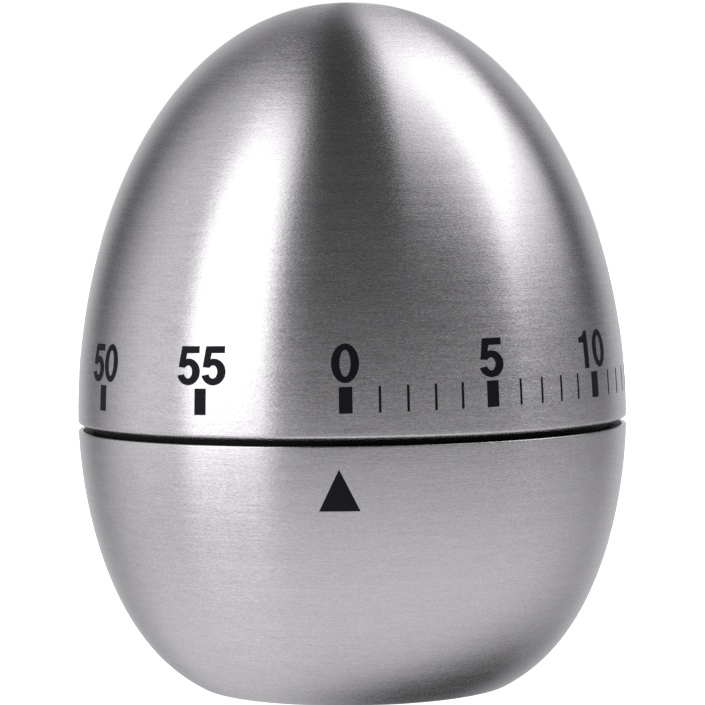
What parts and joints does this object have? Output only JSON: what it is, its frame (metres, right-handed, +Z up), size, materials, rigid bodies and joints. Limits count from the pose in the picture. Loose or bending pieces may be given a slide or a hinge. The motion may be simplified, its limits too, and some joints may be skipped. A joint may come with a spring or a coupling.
{
  "type": "kitchen timer",
  "caption": "Egg-shaped clockwork kitchen timer: a brushed steel dome turns as the dial on a matching steel bowl, with a bell and wheel train inside.",
  "frame": {"origin": "on the table under the middle of the timer, at the underside of the rubber foot ring", "axes": "+Z up along the turning axis of the dial; the pointer side faces -Y"},
  "size_m": [0.06, 0.06, 0.0749],
  "materials": {
    "brushed_steel": "fine circumferential brushing",
    "black_abs": "moulded gloss black",
    "rubber": "matte",
    "zinc_screws": "zinc plated",
    "plate_brass": "rolled sheet brass",
    "wheel_brass": "stamped brass",
    "turned_steel": "turned bright steel",
    "bell_metal": "nickel plated",
    "spring_steel": "blued spring steel",
    "barrel_steel": "tinned sheet steel",
    "scale_ink": "printed black ink"
  },
  "bodies": {
    "base": {"lower_shell": "brushed_steel", "base_cup": "black_abs", "base_cover": "black_abs", "foot_ring": "rubber", "base_screws": "zinc_screws", "bottom_plate": "plate_brass", "top_plate": "plate_brass", "plate_pillars": "plate_brass", "plate_nuts": "zinc_screws", "movement_screws": "zinc_screws", "centre_post": "turned_steel", "bell": "bell_metal", "bell_screw": "zinc_screws", "lever_studs": "turned_steel", "hammer_spring": "spring_steel", "top_bush": "plate_brass", "spring_barrel": "barrel_steel", "barrel_screws": "zinc_screws", "mainspring": "spring_steel"},
    "dial": {"upper_shell": "brushed_steel", "dial_carrier": "black_abs", "main_arbor": "turned_steel", "main_wheel": "wheel_brass", "clutch_spring": "spring_steel", "clutch_collar": "wheel_brass", "trip_cam": "wheel_brass"},
    "second": {"second_arbor": "turned_steel", "second_wheel": "wheel_brass", "strike_star": "wheel_brass"},
    "third": {"third_arbor": "turned_steel", "third_wheel": "wheel_brass"},
    "escape": {"escape_arbor": "turned_steel", "escape_wheel": "wheel_brass"},
    "balance": {"balance_arbor": "turned_steel", "pallet_lever": "wheel_brass", "pallet_pins": "turned_steel", "balance_wheel": "wheel_brass"},
    "hammer": {"hammer_lever": "turned_steel", "hammer_pin": "turned_steel", "hammer_head": "plate_brass"},
    "trip": {"trip_lever": "turned_steel"}
  },
  "joints": [
    {"name": "dial_turn", "type": "hinge", "parent": "base", "child": "dial", "pos_m": [0, 0, 0], "axis": [0, 0, -1], "range_deg": [0, 345]},
    {"name": "second_spin", "type": "hinge", "parent": "base", "child": "second", "pos_m": [0.014, 0, 0], "axis": [0, 0, -1], "range_deg": [-2070, 0]},
    {"name": "third_spin", "type": "hinge", "parent": "base", "child": "third", "pos_m": [0.00944, 0.00979, 0], "axis": [0, 0, -1], "range_deg": [0, 16560]},
    {"name": "escape_spin", "type": "hinge", "parent": "base", "child": "escape", "pos_m": [0.0008, 0.01398, 0], "axis": [0, 0, -1], "range_deg": [-115920, 0]},
    {"name": "balance_swing", "type": "hinge", "parent": "base", "child": "balance", "pos_m": [-0.0063, 0.0125, 0], "axis": [0, 0, 1], "range_deg": [-10, 10]},
    {"name": "hammer_swing", "type": "hinge", "parent": "base", "child": "hammer", "pos_m": [0.00675, -0.00804, 0], "axis": [0, 0, 1], "range_deg": [-6, 2.4]},
    {"name": "trip_swing", "type": "hinge", "parent": "base", "child": "trip", "pos_m": [-0.00996, -0.00836, 0], "axis": [0, 0, 1], "range_deg": [-8, 0]}
  ],
  "couplings": [
    {"joint": "second_spin", "follows": "dial_turn", "ratio": -6},
    {"joint": "third_spin", "follows": "dial_turn", "ratio": 48},
    {"joint": "escape_spin", "follows": "dial_turn", "ratio": -336}
  ]
}
